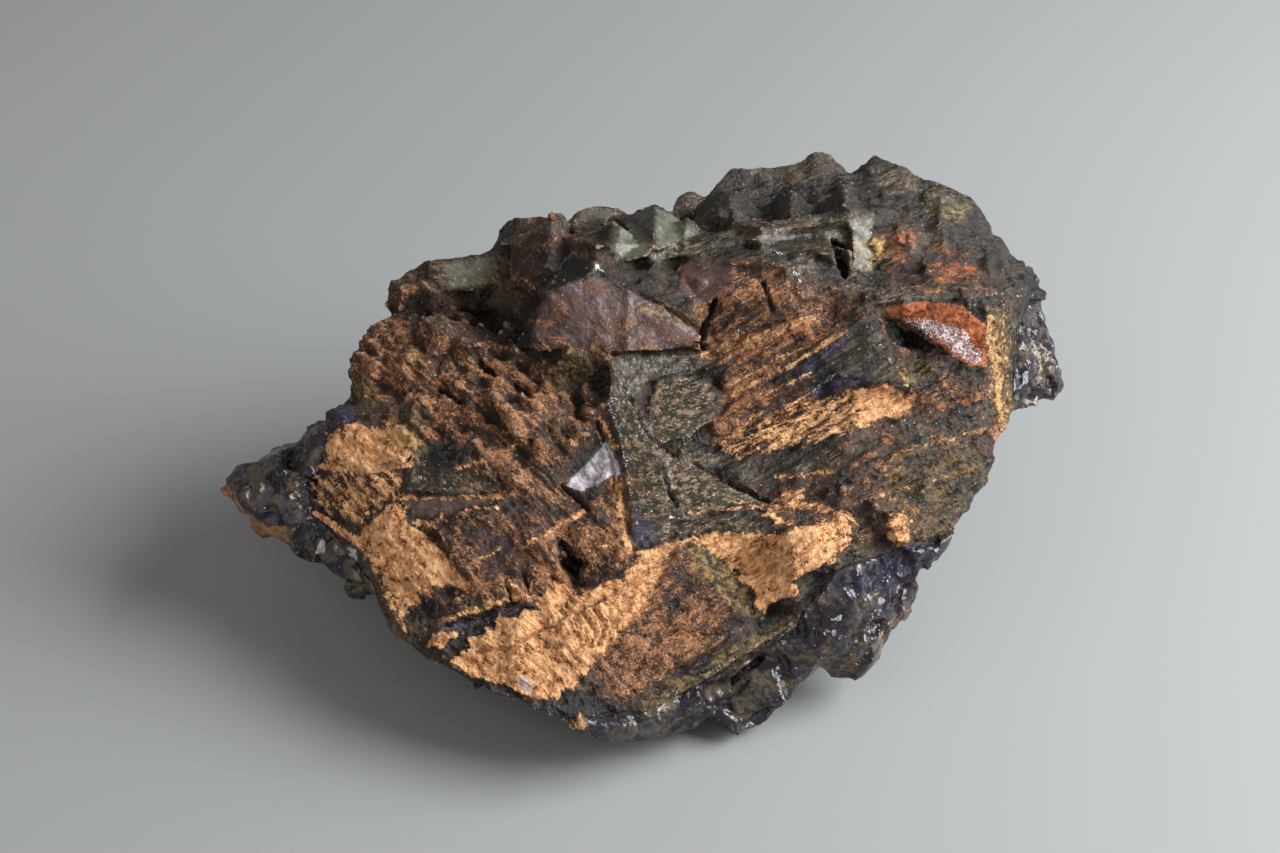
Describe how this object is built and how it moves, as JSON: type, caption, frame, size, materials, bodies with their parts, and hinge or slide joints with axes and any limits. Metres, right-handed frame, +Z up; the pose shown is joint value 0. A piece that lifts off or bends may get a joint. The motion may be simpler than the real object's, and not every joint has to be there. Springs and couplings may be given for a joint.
{
  "type": "mineral specimen",
  "caption": "Rough block of banded purple fluorite with an iron-stained, clay-smeared crust of intergrown stepped cubes, broken on its flanks and resting on a flat break.",
  "frame": {"origin": "centre of the specimen's box, on the flat break it stands on", "axes": "+X runs to the right along the long side as the crusted face is looked at, +Y runs back from that face, +Z is up"},
  "size_m": [0.1762, 0.1294, 0.0755],
  "materials": {
    "fluorite": "dark olive to rust-brown crystal crust with dry ochre clay, glassy blackish purple on the breaks"
  },
  "bodies": {
    "root": {"blue_john_specimen": "fluorite"}
  },
  "joints": []
}
